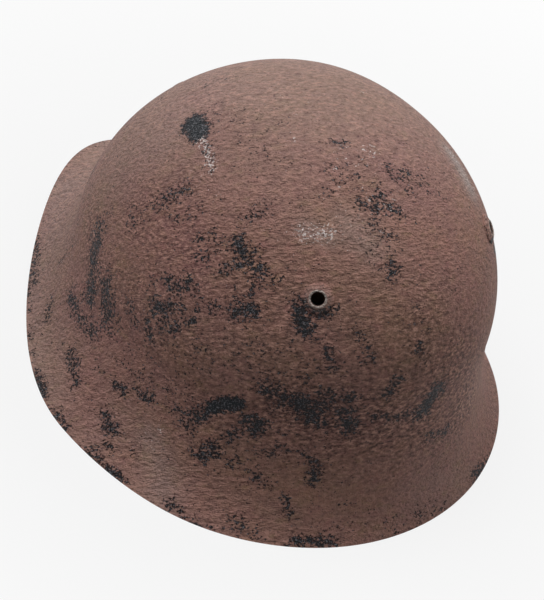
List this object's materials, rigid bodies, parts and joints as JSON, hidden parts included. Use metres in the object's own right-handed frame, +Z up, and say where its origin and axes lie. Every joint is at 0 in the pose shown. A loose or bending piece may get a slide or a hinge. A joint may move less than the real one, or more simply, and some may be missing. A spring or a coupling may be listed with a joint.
{
  "type": "steel helmet",
  "caption": "Flared one-piece steel helmet with hollow vent rivets, a leather and felt liner on a steel band, and a buckled chinstrap that swings.",
  "frame": {"origin": "under the middle of the overall box, in the plane that the rim rests on", "axes": "+Z up over the crown, the visor faces -Y, the wearer's left is +X"},
  "size_m": [0.2424, 0.2774, 0.1649],
  "materials": {
    "shell_paint": "matt gritty brown paint, worn through to blue-black steel in speckled clusters",
    "vent_steel": "dark worn steel, brighter on the crest ring",
    "liner_steel": "dull zinc-grey steel",
    "band_steel": "dull rolled strip",
    "rivet_steel": "dull steel",
    "felt": "grey pressed felt",
    "liner_leather": "tanned, matt, worn",
    "strap_leather": "dark tanned, slightly polished",
    "buckle_steel": "dull steel wire"
  },
  "bodies": {
    "helmet": {"shell": "shell_paint", "vent_rivet_right": "vent_steel", "vent_rivet_left": "vent_steel", "vent_rivet_rear": "vent_steel", "spacer_bushes": "liner_steel", "rivet_washers": "liner_steel", "hanger_right": "liner_steel", "hanger_left": "liner_steel", "hanger_rear": "liner_steel", "hanger_rivets": "rivet_steel", "liner_band": "band_steel", "band_joint_plate": "band_steel", "band_joint_rivets": "rivet_steel", "felt_strip": "felt", "leather_liner": "liner_leather", "liner_rivets": "rivet_steel", "swivel_studs": "rivet_steel"},
    "chinstrap": {"swivel_left": "liner_steel", "swivel_right": "liner_steel", "strap_left": "strap_leather", "strap_right": "strap_leather", "strap_rivets": "rivet_steel", "buckle_frame": "buckle_steel"},
    "prong": {"buckle_prong": "buckle_steel"},
    "keeper": {"strap_keeper": "strap_leather"}
  },
  "joints": [
    {"name": "chinstrap_swing", "type": "hinge", "parent": "helmet", "child": "chinstrap", "pos_m": [0, -0.01337, 0.072], "axis": [1, 0, 0], "range_deg": [-40, 40]},
    {"name": "prong_tilt", "type": "hinge", "parent": "chinstrap", "child": "prong", "pos_m": [0.018, -0.01337, 0.0062], "axis": [0, 1, 0], "range_deg": [0, 10]},
    {"name": "keeper_slide", "type": "slide", "parent": "chinstrap", "child": "keeper", "axis": [1, 0, 0], "range_m": [-0.004, 0.005]}
  ]
}
